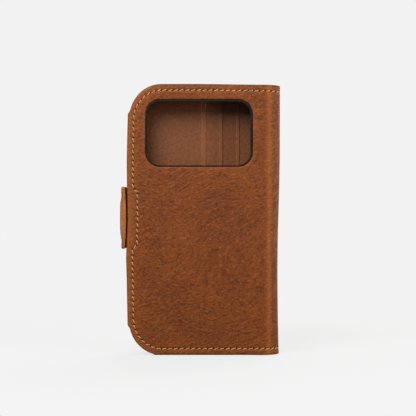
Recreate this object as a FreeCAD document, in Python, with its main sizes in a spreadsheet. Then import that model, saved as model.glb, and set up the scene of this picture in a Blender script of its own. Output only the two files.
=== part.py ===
import FreeCAD, Part
import math
import os
import re

import Sketcher

# Phone wallet case, closed and standing on its bottom edge, in millimetres.
# +Z runs up the case, -Y is the back with the camera opening, +Y is the front cover, the spine is at +X.
# Outlines are drawn from the free edge (x = 0) towards the spine. Each body's Placement centres the case.

DIMENSIONS = [
    # the covers
    ("panel_height", 157.4, "height of the back and of the front cover"),
    ("panel_width", 79.0, "free edge to the start of the spine"),
    ("half_thickness", 9.5, "mid-plane to the outer leather face, and the spine's outer radius"),
    ("hide", 1.4, "outer leather"),
    ("stiffener", 0.7, "board between leather and lining"),
    ("suede", 0.5, "inner lining"),
    ("corner_radius", 19.3, "corners of the free edge"),
    ("corner_centre", 20.25, "corner centre from the free edge"),
    ("shoulder_rise", 3.9, "corner centre to the end of the arc at the free edge"),
    ("shoulder_run", 2.0, "length of the small shoulder beside the arc"),
    ("heel_start", 15.1, "where the lower arc ends, from the free edge"),
    ("heel_run", 1.1, "width of the small heel beside the lower arc"),
    ("board_inset", 6.8, "turned leather rim outside the board"),
    ("board_gap", 0.1, "gap round the board"),
    ("board_end", 78.2, "spine end of the board"),
    # the thread and its groove
    ("stitch_inset", 3.7, "seam from the edge"),
    ("stitch_corner", 17.0, "corner radius of the seam"),
    ("groove_width", 0.9, "groove for the thread"),
    ("groove_depth", 0.35, "groove for the thread"),
    ("thread_width", 0.6, "thread"),
    ("thread_depth", 0.3, "thread, just under the leather's face"),
    ("groove_open", 0.1, "start of the tab's groove above its crowned face"),
    ("jog_low", 63.9, "lower end of the seam's jog round the closure magnet"),
    ("jog_high", 94.5, "upper end of the seam's jog"),
    ("jog_shift", 2.5, "how far the jog steps in, and its slope's height"),
    # the spine
    ("fold_angle", 70.0, "turn of each soft fold, in degrees"),
    ("spine_angle", 40.0, "turn of the stiff strip between the folds, in degrees"),
    # the camera opening
    ("camera_left", 10.7, "opening through leather, board and lining"),
    ("camera_right", 73.3, "opening through leather, board and lining"),
    ("camera_low", 109.3, "opening through leather, board and lining"),
    ("camera_high", 148.5, "opening through leather, board and lining"),
    ("camera_corner", 8.7, "corner radius of the opening"),
    ("bezel_gap", 0.1, "gap between bezel and leather"),
    ("bezel_sink", 0.2, "bezel's face under the leather's face"),
    ("lens_left", 11.9, "inside of the bezel"),
    ("lens_right", 72.0, "inside of the bezel"),
    ("lens_low", 110.1, "inside of the bezel"),
    ("lens_high", 147.2, "inside of the bezel"),
    ("lens_corner", 7.6, "corner radius inside the bezel"),
    # the phone and its shell
    ("phone_width", 71.9, "phone that the shell holds"),
    ("phone_height", 150.0, "phone that the shell holds"),
    ("phone_depth", 8.75, "phone that the shell holds"),
    ("phone_corner", 13.8, "corner radius of the phone"),
    ("phone_centre", 41.9, "phone's middle from the free edge"),
    ("phone_base", 3.7, "phone's lower end"),
    ("phone_gap", 0.2, "gap round the phone"),
    ("shell_wall", 1.5, "side wall"),
    ("shell_floor", 1.3, "floor"),
    ("pad_depth", 0.3, "soft pad on the floor"),
    ("lip_depth", 0.85, "lip in front of the phone"),
    ("lip_overhang", 0.8, "lip over the phone's edge"),
    ("port_width", 44.0, "slot for the charging port"),
    ("port_depth", 5.1, "slot for the charging port"),
    ("port_start", 1.75, "slot above the phone's back"),
    ("key_slot_centre", 49.7, "cutout for the touch key in the free-edge wall"),
    ("key_slot_length", 20.0, "cutout for the touch key"),
    ("key_slot_depth", 5.4, "cutout for the touch key"),
    # the button covers
    ("button_proud", 0.5, "cap outside the wall"),
    ("button_depth", 3.2, "cap, across the case"),
    ("button_middle", 4.4, "cap's middle above the phone's back"),
    ("flange_overlap", 0.8, "flange round the cap"),
    ("flange_thick", 0.4, "flange, and the travel left behind it"),
    ("flange_recess", 0.8, "recess for the flange in the wall"),
    ("button_gap", 0.15, "gap round cap and flange"),
    ("side_button", 103.7, "height of the side button"),
    ("side_button_length", 17.0, "side button"),
    ("action_button", 123.7, "height of the action button"),
    ("action_button_length", 8.0, "action button"),
    ("volume_up", 107.7, "height of volume up"),
    ("volume_down", 93.7, "height of volume down"),
    ("volume_length", 11.0, "each volume button"),
    # the pockets on the front lining
    ("cash_depth", 0.5, "cash pocket"),
    ("cash_right", 77.0, "mouth of the cash pocket"),
    ("cash_room", 0.2, "slack inside the cash pocket"),
    ("card_depth", 0.6, "each card pocket"),
    ("card_room", 0.25, "slack inside each card pocket"),
    ("card_right", 66.0, "mouth of the first card pocket"),
    ("card_step", 10.0, "each next mouth, further from the spine"),
    ("card_inset", 2.0, "pockets from the cover's edge"),
    ("card_seam", 6.0, "glued and sewn rim of each pocket"),
    # the closure tab and its keeper
    ("tab_low", 61.7, "lower end of the tab"),
    ("tab_length", 36.0, "tab along the edge"),
    ("tab_half", 1.0, "each of the tab's two layers at its ends"),
    ("tab_bulge_out", 0.8, "outer layer's crown over the magnet"),
    ("tab_bulge_in", 0.6, "inner layer's crown over the magnet"),
    ("tab_seam", 2.0, "plane between the two layers, outside the free edge"),
    ("tab_sink", 0.2, "free end of the tab short of the back's face"),
    ("tab_reach", 14.9, "tab from its free end to its fold"),
    ("fold_thick", 0.7, "skived leather in the tab's fold and root"),
    ("fold_inner", 1.8, "inner radius of the tab's fold"),
    ("root_reach", 5.2, "root inside the cover's edge"),
    ("tab_stitch", 2.2, "seam from the tab's edges"),
    ("magnet_length", 22.0, "magnet and keeper"),
    ("magnet_width", 8.0, "magnet"),
    ("magnet_thick", 1.2, "magnet"),
    ("magnet_start", 1.2, "magnet from the tab's free end"),
    ("keeper_left", 1.0, "keeper from the free edge"),
    ("keeper_width", 3.6, "keeper"),
]

NODES_DIRECTORY = "parts"

doc = FreeCAD.newDocument("phone_wallet_case")
sheet = doc.addObject("Spreadsheet::Sheet", "dims")
for row, (alias, size, meaning) in enumerate(DIMENSIONS, start=1):
    sheet.set(f"A{row}", meaning)
    sheet.set(f"B{row}", str(size))
    sheet.setAlias(f"B{row}", alias)
doc.recompute()

ALIASES = re.compile(r"\b(" + "|".join(name for name, _, _ in DIMENSIONS) + r")\b")
parts = []


# ---------------------------------------------------------------- expressions

def bound(text):
    """The expression, with each name of a dimension pointed at its cell."""
    return ALIASES.sub(r"dims.\1", text)


def number(text):
    """What the expression comes to now."""
    return float(sheet.evalExpression(bound(text)))


def bind(target, prop, text):
    target.setExpression(prop, bound(text))


# Heights through the case (Y), as expressions.
BACK_FACE = "(-half_thickness)"
BACK_BOARD = "(-half_thickness + hide)"
BACK_LINING = "(-half_thickness + hide + stiffener)"
SHELL_BACK = "(-half_thickness + hide + stiffener + suede)"
PAD_BACK = "(-half_thickness + hide + stiffener + suede + shell_floor)"
PHONE_BACK = "(-half_thickness + hide + stiffener + suede + shell_floor + pad_depth)"
FRONT_LINING = "(half_thickness - hide - stiffener - suede)"
FRONT_RIM = "(half_thickness - hide - stiffener)"
FRONT_FACE = "(half_thickness)"

# The crown of the tab's outer face, from the free edge.
TAB_FACE = "(-(tab_seam + tab_half + tab_bulge_out))"

# Half of the case's whole width, from the tab's crown to the spine: it centres the case on X = 0.
CENTRE = f"((panel_width + half_thickness + {TAB_FACE}) / 2)"


# ---------------------------------------------------------------- outlines

def arc_centre(start, end, radius, side):
    """Centre of the shorter arc from start to end: on the left of the chord for side 1, right for -1."""
    chord_x = end[0] - start[0]
    chord_y = end[1] - start[1]
    chord = math.hypot(chord_x, chord_y)
    height = math.sqrt(max(radius ** 2 - (chord / 2) ** 2, 0.0))
    middle_x = (start[0] + end[0]) / 2
    middle_y = (start[1] + end[1]) / 2
    return (middle_x - side * height * chord_y / chord, middle_y + side * height * chord_x / chord)


def arc_curve(start, end, radius, side):
    centre = arc_centre(start, end, radius, side)
    first, last = (start, end) if side > 0 else (end, start)
    first_angle = math.atan2(first[1] - centre[1], first[0] - centre[0])
    last_angle = math.atan2(last[1] - centre[1], last[0] - centre[0])
    if last_angle < first_angle:
        last_angle += 2 * math.pi
    circle = Part.Circle(FreeCAD.Vector(*centre, 0), FreeCAD.Vector(0, 0, 1), radius)
    return Part.ArcOfCircle(circle, first_angle, last_angle)


def draw(sketch, steps):
    """Draws a closed outline, counter-clockwise, and binds every corner and radius to the sheet.

    A step is (x, y) for a straight run to the next step, or (x, y, radius) for an arc to it that bulges
    outwards, or (x, y, radius, -1) for one that bulges inwards.
    """
    corners = [(number(step[0]), number(step[1])) for step in steps]
    ends = []
    for index, step in enumerate(steps):
        start = corners[index]
        end = corners[(index + 1) % len(steps)]
        if len(step) == 2:
            curve = Part.LineSegment(FreeCAD.Vector(*start, 0), FreeCAD.Vector(*end, 0))
            ends.append((1, 2))
        else:
            side = step[3] if len(step) == 4 else 1
            curve = arc_curve(start, end, number(step[2]), side)
            ends.append((1, 2) if side > 0 else (2, 1))
        sketch.addGeometry(curve, False)

    for index, step in enumerate(steps):
        following = (index + 1) % len(steps)
        sketch.addConstraint(
            Sketcher.Constraint("Coincident", index, ends[index][1], following, ends[following][0]))
        for axis, (text, kind, line) in enumerate(
                ((step[0], "DistanceX", -2), (step[1], "DistanceY", -1))):
            if text == "0":
                sketch.addConstraint(Sketcher.Constraint("PointOnObject", index, ends[index][0], line))
                continue
            place = sketch.addConstraint(
                Sketcher.Constraint(kind, -1, 1, index, ends[index][0], corners[index][axis]))
            bind(sketch, f"Constraints[{place}]", text)
        if len(step) > 2:
            place = sketch.addConstraint(Sketcher.Constraint("Radius", index, number(step[2])))
            bind(sketch, f"Constraints[{place}]", step[2])


def rectangle(left, low, right, high):
    return [(left, low), (right, low), (right, high), (left, high)]


def rounded(left, low, right, high, corner):
    """A rectangle with four round corners."""
    return [
        (f"{left} + {corner}", low),
        (f"{right} - {corner}", low, corner),
        (right, f"{low} + {corner}"),
        (right, f"{high} - {corner}", corner),
        (f"{right} - {corner}", high),
        (f"{left} + {corner}", high, corner),
        (left, f"{high} - {corner}"),
        (left, f"{low} + {corner}", corner),
    ]


def panel():
    """Outline of a cover: square at the spine, round at the free edge, with its small shoulders."""
    arc_end = "corner_centre - sqrt(corner_radius^2 - shoulder_rise^2)"
    heel_rise = "corner_radius - sqrt(corner_radius^2 - (corner_centre - heel_start)^2)"
    high_centre = "panel_height - corner_radius"
    low_centre = "corner_radius"
    return [
        ("heel_start + heel_run", "0"),
        ("panel_width", "0"),
        ("panel_width", "panel_height"),
        ("corner_centre", "panel_height", "corner_radius"),
        (arc_end, f"{high_centre} + shoulder_rise"),
        ("0", f"{high_centre} + shoulder_rise - shoulder_run"),
        ("0", f"{low_centre} - shoulder_rise + shoulder_run"),
        (arc_end, f"{low_centre} - shoulder_rise", "corner_radius"),
        ("heel_start", heel_rise),
    ]


def inner_panel(inset, right):
    """A cover's outline drawn in by inset, cut off square at right."""
    corner = f"(corner_radius - {inset})"
    return [
        (f"{inset} + {corner}", inset),
        (right, inset),
        (right, f"panel_height - {inset}"),
        (f"{inset} + {corner}", f"panel_height - {inset}", corner),
        (inset, f"panel_height - {inset} - {corner}"),
        (inset, f"{inset} + {corner}", corner),
    ]


def seam(width):
    """The band of a seam, open at the spine: along the top, the free edge with its jog, and the bottom."""
    half = f"{width} / 2"
    near = f"stitch_inset - {half}"
    far = f"stitch_inset + {half}"
    turn = "stitch_inset + stitch_corner"
    tight = f"stitch_corner - {half}"
    wide = f"stitch_corner + {half}"
    return [
        ("panel_width", near),
        ("panel_width", far),
        (turn, far, tight, -1),
        (far, turn),
        (far, "jog_low - jog_shift"),
        (f"{far} + jog_shift", "jog_low"),
        (f"{far} + jog_shift", "jog_high"),
        (far, "jog_high + jog_shift"),
        (far, f"panel_height - ({turn})", tight, -1),
        (turn, f"panel_height - ({far})"),
        ("panel_width", f"panel_height - ({far})"),
        ("panel_width", f"panel_height - ({near})"),
        (turn, f"panel_height - ({near})", wide),
        (near, f"panel_height - ({turn})"),
        (near, "jog_high + jog_shift"),
        (f"{near} + jog_shift", "jog_high"),
        (f"{near} + jog_shift", "jog_low"),
        (near, "jog_low - jog_shift"),
        (near, turn, wide),
        (turn, near),
    ]


# ---------------------------------------------------------------- building

def origin_plane(body, role):
    return next(plane for plane in body.Origin.OriginFeatures if plane.Role == role)


def new_body(label, left="0", face="0", low="0"):
    """A body whose own origin is at left of the free edge, at the height face through the case."""
    body = doc.addObject("PartDesign::Body", label)
    body.Label = label
    bind(body, "Placement.Base.x", f"{left} - {CENTRE}")
    bind(body, "Placement.Base.y", face)
    bind(body, "Placement.Base.z", low)
    parts.append(body)
    return body


def front_view_sketch(body, name, start, steps):
    """A sketch in the body's XZ plane, moved to start along +Y."""
    sketch = body.newObject("Sketcher::SketchObject", name)
    sketch.AttachmentSupport = (origin_plane(body, "XZ_Plane"), [""])
    sketch.MapMode = "FlatFace"
    bind(sketch, "AttachmentOffset.Base.z", f"-({start})")
    draw(sketch, steps)
    return sketch


def add_layer(body, name, steps, start, depth):
    """Adds the outline as a slab, from start and depth thick, towards +Y."""
    layer = body.newObject("PartDesign::Pad", name)
    layer.Profile = front_view_sketch(body, f"{name}_outline", start, steps)
    layer.Reversed = True
    bind(layer, "Length", depth)
    doc.recompute()
    return layer


def cut_layer(body, name, steps, start, depth):
    """Cuts the outline out, from start and depth deep, towards +Y, and makes sure that it cut."""
    before = body.Shape.Volume
    layer = body.newObject("PartDesign::Pocket", name)
    layer.Profile = front_view_sketch(body, f"{name}_outline", start, steps)
    bind(layer, "Length", depth)
    doc.recompute()
    if not body.Shape.Volume < before:
        raise RuntimeError(f"{body.Label}: {name} cuts nothing")
    return layer


def sheet_part(label, steps, face, depth):
    """A flat piece of one thickness."""
    body = new_body(label, face=face)
    add_layer(body, f"{label}_sheet", steps, "0", depth)
    return body


CAMERA = rounded("camera_left", "camera_low", "camera_right", "camera_high", "camera_corner")
LENSES = rounded("lens_left", "lens_low", "lens_right", "lens_high", "lens_corner")


def cover_leather(label, face, outside):
    """A cover's leather: a turned rim round a recess for the board, and a groove for the thread.

    outside is -1 where the outer face looks to -Y and 1 where it looks to +Y.
    """
    body = new_body(label, face=face)
    add_layer(body, f"{label}_sheet", panel(), "0", "hide + stiffener")
    board_start = "hide" if outside < 0 else "0"
    groove_start = "0" if outside < 0 else "hide + stiffener - groove_depth"
    board_outline = inner_panel("board_inset", "panel_width")
    cut_layer(body, f"{label}_board_recess", board_outline, board_start, "stiffener")
    cut_layer(body, f"{label}_groove", seam("groove_width"), groove_start, "groove_depth")
    return body


def back_cover():
    leather = cover_leather("back_leather", BACK_FACE, -1)
    cut_layer(leather, "camera_opening", CAMERA, "0", "hide + stiffener")
    keeper_recess = rectangle("keeper_left", "tab_low + (tab_length - magnet_length) / 2",
                              "keeper_left + keeper_width", "tab_low + (tab_length + magnet_length) / 2")
    cut_layer(leather, "keeper_recess", keeper_recess, "hide", "stiffener")
    sheet_part("closure_keeper", keeper_recess, BACK_BOARD, "stiffener")

    board = sheet_part("back_board", inner_panel("(board_inset + board_gap)", "board_end"),
                       BACK_BOARD, "stiffener")
    cut_layer(board, "board_camera_opening", CAMERA, "0", "stiffener")

    lining = sheet_part("back_lining", panel(), BACK_LINING, "suede")
    cut_layer(lining, "lining_camera_opening", CAMERA, "0", "suede")

    sheet_part("back_stitching", seam("thread_width"),
               f"{BACK_FACE} + groove_depth - thread_depth", "thread_depth")


def front_cover():
    leather = cover_leather("front_leather", FRONT_RIM, 1)
    root = rectangle("0", "tab_low", "root_reach", "tab_low + tab_length")
    cut_layer(leather, "root_recess", root, "0", "stiffener")
    sheet_part("tab_root", root, FRONT_RIM, "fold_thick")
    sheet_part("front_board", inner_panel("(board_inset + board_gap)", "board_end"), FRONT_RIM, "stiffener")
    sheet_part("front_lining", panel(), FRONT_LINING, "suede")
    sheet_part("front_stitching", seam("thread_width"), f"{FRONT_FACE} - groove_depth", "thread_depth")


def pocket(label, right, face, depth, room):
    """A pocket panel sewn on three sides, with a shallow room on the side that faces the cover."""
    body = sheet_part(label, inner_panel("card_inset", right), face, depth)
    cut_layer(body, f"{label}_room", inner_panel("(card_inset + card_seam)", right),
              f"{depth} - {room}", room)
    return body


def pockets():
    cash_face = f"{FRONT_LINING} - cash_depth"
    pocket("cash_pocket", "cash_right", cash_face, "cash_depth", "cash_room")
    for count in range(1, 4):
        pocket(f"card_pocket_{count}", f"card_right - {count - 1} * card_step",
               f"{cash_face} - {count} * card_depth", "card_depth", "card_room")


# ---------------------------------------------------------------- the shell and what it holds

CAVITY_LEFT = "(phone_centre - phone_width / 2 - phone_gap)"
CAVITY_RIGHT = "(phone_centre + phone_width / 2 + phone_gap)"
CAVITY_LOW = "(phone_base - phone_gap)"
CAVITY_HIGH = "(phone_base + phone_height + phone_gap)"
CAVITY_CORNER = "(phone_corner + phone_gap)"

# Name of each button cover, its height, its length, and which wall it is in: -1 free edge, 1 spine.
BUTTONS = [
    ("side_button_cover", "side_button", "side_button_length", -1),
    ("action_button_cover", "action_button", "action_button_length", 1),
    ("volume_up_cover", "volume_up", "volume_length", 1),
    ("volume_down_cover", "volume_down", "volume_length", 1),
]


def cavity(growth):
    """The phone's outline with its gap, made larger by growth on every side."""
    return rounded(f"({CAVITY_LEFT} - {growth})", f"({CAVITY_LOW} - {growth})",
                   f"({CAVITY_RIGHT} + {growth})", f"({CAVITY_HIGH} + {growth})",
                   f"({CAVITY_CORNER} + {growth})")


def wall_rectangle(wall, near, far, centre, length):
    """A rectangle in a side wall, from near to far outwards of the cavity."""
    half = f"({length}) / 2"
    if wall < 0:
        return rectangle(f"{CAVITY_LEFT} - ({far})", f"{centre} - {half}",
                         f"{CAVITY_LEFT} - ({near})", f"{centre} + {half}")
    return rectangle(f"{CAVITY_RIGHT} + {near}", f"{centre} - {half}",
                     f"{CAVITY_RIGHT} + {far}", f"{centre} + {half}")


def button_slot(shell, label, centre, length, wall):
    """The cap's slot through the wall, and the recess for its flange inside."""
    middle = "shell_floor + pad_depth + button_middle"
    cap = wall_rectangle(wall, "0", "shell_wall", centre, f"{length} + 2 * button_gap")
    flange = wall_rectangle(wall, "0", "flange_recess", centre,
                            f"{length} + 2 * flange_overlap + 2 * button_gap")
    cut_layer(shell, f"{label}_slot", cap,
              f"{middle} - button_depth / 2 - button_gap", "button_depth + 2 * button_gap")
    cut_layer(shell, f"{label}_recess", flange,
              f"{middle} - button_depth / 2 - flange_overlap - button_gap",
              "button_depth + 2 * flange_overlap + 2 * button_gap")


def button_cover(label, centre, length, wall):
    """A cap through the wall, with a flange that holds it in and leaves it room to be pressed."""
    body = new_body(label, face=f"{PHONE_BACK} + button_middle")
    cap = wall_rectangle(wall, "flange_recess", "shell_wall + button_proud", centre, length)
    flange = wall_rectangle(wall, "flange_recess - flange_thick", "flange_recess", centre,
                            f"{length} + 2 * flange_overlap")
    add_layer(body, f"{label}_cap", cap, "-button_depth / 2", "button_depth")
    add_layer(body, f"{label}_flange", flange, "-button_depth / 2 - flange_overlap",
              "button_depth + 2 * flange_overlap")
    return body


def phone_shell():
    depth = "(shell_floor + pad_depth + phone_depth + lip_depth)"
    shell = new_body("phone_shell", face=SHELL_BACK)
    add_layer(shell, "shell_block", cavity("shell_wall"), "0", depth)
    cut_layer(shell, "shell_room", cavity("0"), "shell_floor", "pad_depth + phone_depth")
    cut_layer(shell, "shell_mouth", cavity("-lip_overhang"), "shell_floor", f"{depth} - shell_floor")
    cut_layer(shell, "shell_camera_opening", LENSES, "0", "shell_floor")
    port = rectangle("phone_centre - port_width / 2", f"{CAVITY_LOW} - shell_wall",
                     "phone_centre + port_width / 2", CAVITY_LOW)
    cut_layer(shell, "port_slot", port, "shell_floor + pad_depth + port_start", "port_depth")
    key = wall_rectangle(-1, "0", "shell_wall", "key_slot_centre", "key_slot_length")
    cut_layer(shell, "key_slot", key, "shell_floor + pad_depth + port_start", "key_slot_depth")
    for button in BUTTONS:
        button_slot(shell, *button)
        button_cover(*button)

    pad = sheet_part("shell_pad", cavity("-phone_gap"), PAD_BACK, "pad_depth")
    cut_layer(pad, "pad_camera_opening", LENSES, "0", "pad_depth")

    bezel = new_body("camera_bezel", face=f"{BACK_FACE} + bezel_sink")
    bezel_depth = f"{SHELL_BACK} - {BACK_FACE} - bezel_sink"
    outside = rounded("(camera_left + bezel_gap)", "(camera_low + bezel_gap)",
                      "(camera_right - bezel_gap)", "(camera_high - bezel_gap)",
                      "(camera_corner - bezel_gap)")
    add_layer(bezel, "bezel_ring", outside, "0", bezel_depth)
    cut_layer(bezel, "bezel_opening", LENSES, "0", bezel_depth)


# ---------------------------------------------------------------- bent leather

def bent_strip(label, centre_x, centre_y, low, height, inner, outer, start_angle, angle):
    """A strip bent round an upright axis: a sector of a tube, from start_angle in degrees."""
    tube = []
    for name, radius in (("outside", outer), ("inside", inner)):
        sector = doc.addObject("Part::Cylinder", f"{label}_{name}")
        bind(sector, "Radius", radius)
        bind(sector, "Height", height)
        bind(sector, "Angle", angle)
        tube.append(sector)
    strip = doc.addObject("Part::Cut", label)
    strip.Label = label
    strip.Base, strip.Tool = tube
    bind(strip, "Placement.Base.x", f"{centre_x} - {CENTRE}")
    bind(strip, "Placement.Base.y", centre_y)
    bind(strip, "Placement.Base.z", low)
    bind(strip, "Placement.Rotation.Angle", start_angle)
    parts.append(strip)
    return strip


def spine():
    """Leather and lining round the spine: a soft fold at each cover and a stiff strip between them."""
    stretches = [
        ("back_fold", "-90", "fold_angle"),
        ("spine", "-90 + fold_angle", "spine_angle"),
        ("front_fold", "-90 + fold_angle + spine_angle", "fold_angle"),
    ]
    for name, start_angle, angle in stretches:
        bent_strip(f"{name}_leather", "panel_width", "0", "0", "panel_height",
                   "half_thickness - hide", "half_thickness", start_angle, angle)
        bent_strip(f"{name}_lining", "panel_width", "0", "0", "panel_height",
                   "half_thickness - hide - suede", "half_thickness - hide", start_angle, angle)


def tab_layer(label, steps, face, room_left, room_right):
    """One of the tab's two leather layers, with half of the magnet's room in it."""
    body = new_body(label, left=TAB_FACE, face=face, low="tab_low")
    add_layer(body, f"{label}_sheet", steps, "0", "tab_reach")
    room = rectangle(room_left, "(tab_length - magnet_length) / 2",
                     room_right, "(tab_length + magnet_length) / 2")
    cut_layer(body, f"{label}_magnet_room", room, "magnet_start", "magnet_width")
    return body


def crown(radius, height):
    """How far the tab's crowned outer face is from the crown's top, at a height along the tab."""
    return f"({radius} - sqrt({radius}^2 - (tab_length / 2 - ({height}))^2))"


def tab_seam_band(radius, low, high, width, top, bottom):
    """Section of the tab's seam along its free end: a band from top to bottom under the crowned face."""
    start = f"{low} - {width} / 2"
    end = f"{high} + {width} / 2"
    return [
        (f"{crown(radius, start)} + {top}", start),
        (f"{crown(radius, start)} + {bottom}", start, radius, -1),
        (f"{crown(radius, end)} + {bottom}", end),
        (f"{crown(radius, end)} + {top}", end, radius),
    ]


def tab_seam_runs(radius, width, top, bottom):
    """The tab's seam as (name, section, start, length): along the free end, and two runs up to the fold."""
    low = "tab_stitch"
    high = "tab_length - tab_stitch"
    end_run = tab_seam_band(radius, low, high, width, top, bottom)
    runs = [("end_run", end_run, f"tab_stitch - {width} / 2", width)]
    for name, height in (("low_run", low), ("high_run", high)):
        face = crown(radius, height)
        section = rectangle(f"{face} + {top}", f"{height} - {width} / 2",
                            f"{face} + {bottom}", f"{height} + {width} / 2")
        runs.append((name, section, "tab_stitch", "tab_reach - tab_stitch"))
    return runs


def closure_tab():
    """The tab's two crowned layers, the magnet between them and the fold that joins them to the cover."""
    face = f"{BACK_FACE} + tab_sink"
    between = "(tab_bulge_out + tab_half)"
    outer_radius = "(((tab_length / 2)^2 + tab_bulge_out^2) / (2 * tab_bulge_out))"
    inner_radius = "(((tab_length / 2)^2 + tab_bulge_in^2) / (2 * tab_bulge_in))"
    outer_layer = [
        ("tab_bulge_out", "0"),
        (between, "0"),
        (between, "tab_length"),
        ("tab_bulge_out", "tab_length", outer_radius),
    ]
    inner_layer = [
        (between, "0"),
        (f"{between} + tab_half", "0", inner_radius),
        (f"{between} + tab_half", "tab_length"),
        (between, "tab_length"),
    ]
    leather = tab_layer("tab_leather", outer_layer, face, f"{between} - magnet_thick / 2", between)
    groove = tab_seam_runs(outer_radius, "groove_width", "(-groove_open)", "groove_depth")
    for name, section, start, length in groove:
        cut_layer(leather, f"tab_groove_{name}", section, start, length)
    stitching = new_body("tab_stitching", left=TAB_FACE, face=face, low="tab_low")
    thread = tab_seam_runs(outer_radius, "thread_width", "(groove_depth - thread_depth)", "groove_depth")
    for name, section, start, length in thread:
        add_layer(stitching, f"tab_thread_{name}", section, start, length)
    tab_layer("tab_lining", inner_layer, face, between, f"{between} + magnet_thick / 2")

    magnet = new_body("tab_magnet", left=f"{TAB_FACE} + {between}", face=f"{face} + magnet_start",
                      low="tab_low + (tab_length - magnet_length) / 2")
    magnet_outline = rectangle("-magnet_thick / 2", "0", "magnet_thick / 2", "magnet_length")
    add_layer(magnet, "magnet_bar", magnet_outline, "0", "magnet_width")

    bent_strip("tab_fold_leather", "0", f"{face} + tab_reach", "tab_low", "tab_length",
               "fold_inner", "fold_inner + fold_thick", "90", "90")


# ---------------------------------------------------------------- checking and writing

def check_and_write():
    doc.recompute()
    for item in doc.Objects:
        if "Invalid" in item.State or "Error" in item.State:
            raise RuntimeError(f"{item.Label} could not be made: {item.State}")
    for item in parts:
        if item.Shape.isNull() or not item.Shape.isValid() or item.Shape.Volume <= 0:
            raise RuntimeError(f"{item.Label} has no valid shape")
    os.makedirs(NODES_DIRECTORY, exist_ok=True)
    for item in parts:
        item.Shape.exportStep(os.path.join(NODES_DIRECTORY, f"{item.Label}.step"))
        box = item.Shape.BoundBox
        print(f"{item.Label:22s} solids {len(item.Shape.Solids)}  x {box.XMin:7.2f} {box.XMax:7.2f}"
              f"  y {box.YMin:6.2f} {box.YMax:6.2f}  z {box.ZMin:7.2f} {box.ZMax:7.2f}"
              f"  volume {item.Shape.Volume:9.1f}")


back_cover()
front_cover()
pockets()
phone_shell()
spine()
closure_tab()
check_and_write()
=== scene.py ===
import math
import random

import bmesh
import bpy
import numpy as np
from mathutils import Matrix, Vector, noise
from mathutils.geometry import delaunay_2d_cdt
from mathutils.kdtree import KDTree


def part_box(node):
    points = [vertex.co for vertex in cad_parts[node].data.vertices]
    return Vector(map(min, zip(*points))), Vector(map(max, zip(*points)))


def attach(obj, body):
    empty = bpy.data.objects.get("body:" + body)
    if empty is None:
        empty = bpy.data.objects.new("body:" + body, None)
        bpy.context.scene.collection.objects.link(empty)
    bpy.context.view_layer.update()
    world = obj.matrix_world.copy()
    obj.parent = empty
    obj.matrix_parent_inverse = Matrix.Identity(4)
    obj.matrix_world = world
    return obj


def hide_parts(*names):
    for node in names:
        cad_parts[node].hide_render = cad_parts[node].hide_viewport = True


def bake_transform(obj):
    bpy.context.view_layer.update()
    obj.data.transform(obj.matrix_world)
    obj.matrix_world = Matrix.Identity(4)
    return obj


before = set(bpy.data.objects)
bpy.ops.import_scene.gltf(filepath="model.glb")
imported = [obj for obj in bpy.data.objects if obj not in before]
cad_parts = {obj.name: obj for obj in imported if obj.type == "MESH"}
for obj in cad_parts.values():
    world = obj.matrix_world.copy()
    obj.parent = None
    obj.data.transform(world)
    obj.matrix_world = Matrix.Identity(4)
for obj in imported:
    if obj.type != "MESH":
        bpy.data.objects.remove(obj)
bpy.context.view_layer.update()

# A phone wallet case: pull-up leather covers, sewn with pale thread, round a moulded shell, and a tab.
# The covers are made in the flat. A flat point is (s, z) in millimetres: s runs from the free edge across
# the cover and on round the spine to its middle, and z runs up the case. Depth runs in from the outer face.

MM = 0.001
random.seed(11)


# ---------------------------------------------------------------- places, from the frame

def node_box(name):
    """Lowest and highest corner of a CAD node, in millimetres."""
    low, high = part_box(name)
    return low / MM, high / MM


PANEL_LOW, PANEL_HIGH = node_box("back_leather")
BEZEL_LOW, BEZEL_HIGH = node_box("camera_bezel")
TAB_LOW, TAB_HIGH = node_box("tab_leather")
TAB_FOLD_LOW, TAB_FOLD_HIGH = node_box("tab_fold_leather")

EDGE_X = PANEL_LOW.x
SPINE_X = PANEL_HIGH.x
HEIGHT = PANEL_HIGH.z
FLAT = SPINE_X - EDGE_X
RADIUS = node_box("spine_leather")[1].x - SPINE_X
S_END = FLAT + RADIUS * math.pi / 2
BACK = -1
FRONT = 1
SIDE_NAMES = {BACK: "back", FRONT: "front"}

# ---------------------------------------------------------------- sizes, in millimetres

# A cover's corners, and the small shoulders and heel where the hand-cut edge meets them.
CORNER = 19.3
CORNER_CENTRE = 20.25
SHOULDER_RISE = 3.9
SHOULDER_RUN = 2.0
HEEL_START = 15.1
HEEL_RUN = 1.1

# Thicknesses: at the rim, over the stiffener board, and of the lining.
RIM_THICK = 2.1
HIDE_THICK = 1.4
LINING_THICK = 0.5
BOARD_INSET = 6.8
BOARD_STEP = 1.2

# How the cut edges are rounded and pressed down, and how far the leather softens towards the spine.
EDGE_ROUND = 0.7
EDGE_PRESS = 0.22
EDGE_PRESS_REACH = 1.6
SPINE_FADE = 8

# The camera opening in the leather, round its bezel.
CAMERA_GAP = 0.1
CAMERA_CORNER = 8.7
CAMERA_ROUND = 0.5

# The seam, with its jog round the closure magnet.
SEAM_INSET = 3.7
SEAM_CORNER = 17.0
SEAM_JOG = 2.5
SEAM_JOG_LOW = 63.9
SEAM_JOG_HIGH = 94.5

# A stitch: how much of its pitch it fills, its slant across the seam, and how it sinks and rises.
STITCH_PITCH = 3.33
THREAD_RADIUS = 0.27
STITCH_FILL = 0.94
STITCH_SLANT = 0.34
STITCH_SINK = 0.62
STITCH_RISE = 0.72

# The channel that the stitches pull into the leather, and their holes.
CHANNEL_DEPTH = 0.26
CHANNEL_REACH = 0.62
HOLE_DEPTH = 0.6
HOLE_REACH = 0.31

# The gap between layers, how finely a line is divided to measure from it, and the UV map's unit.
CLEARANCE = 0.03
LINE_STEP = 0.05
FLAT_UNIT = 100

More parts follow.
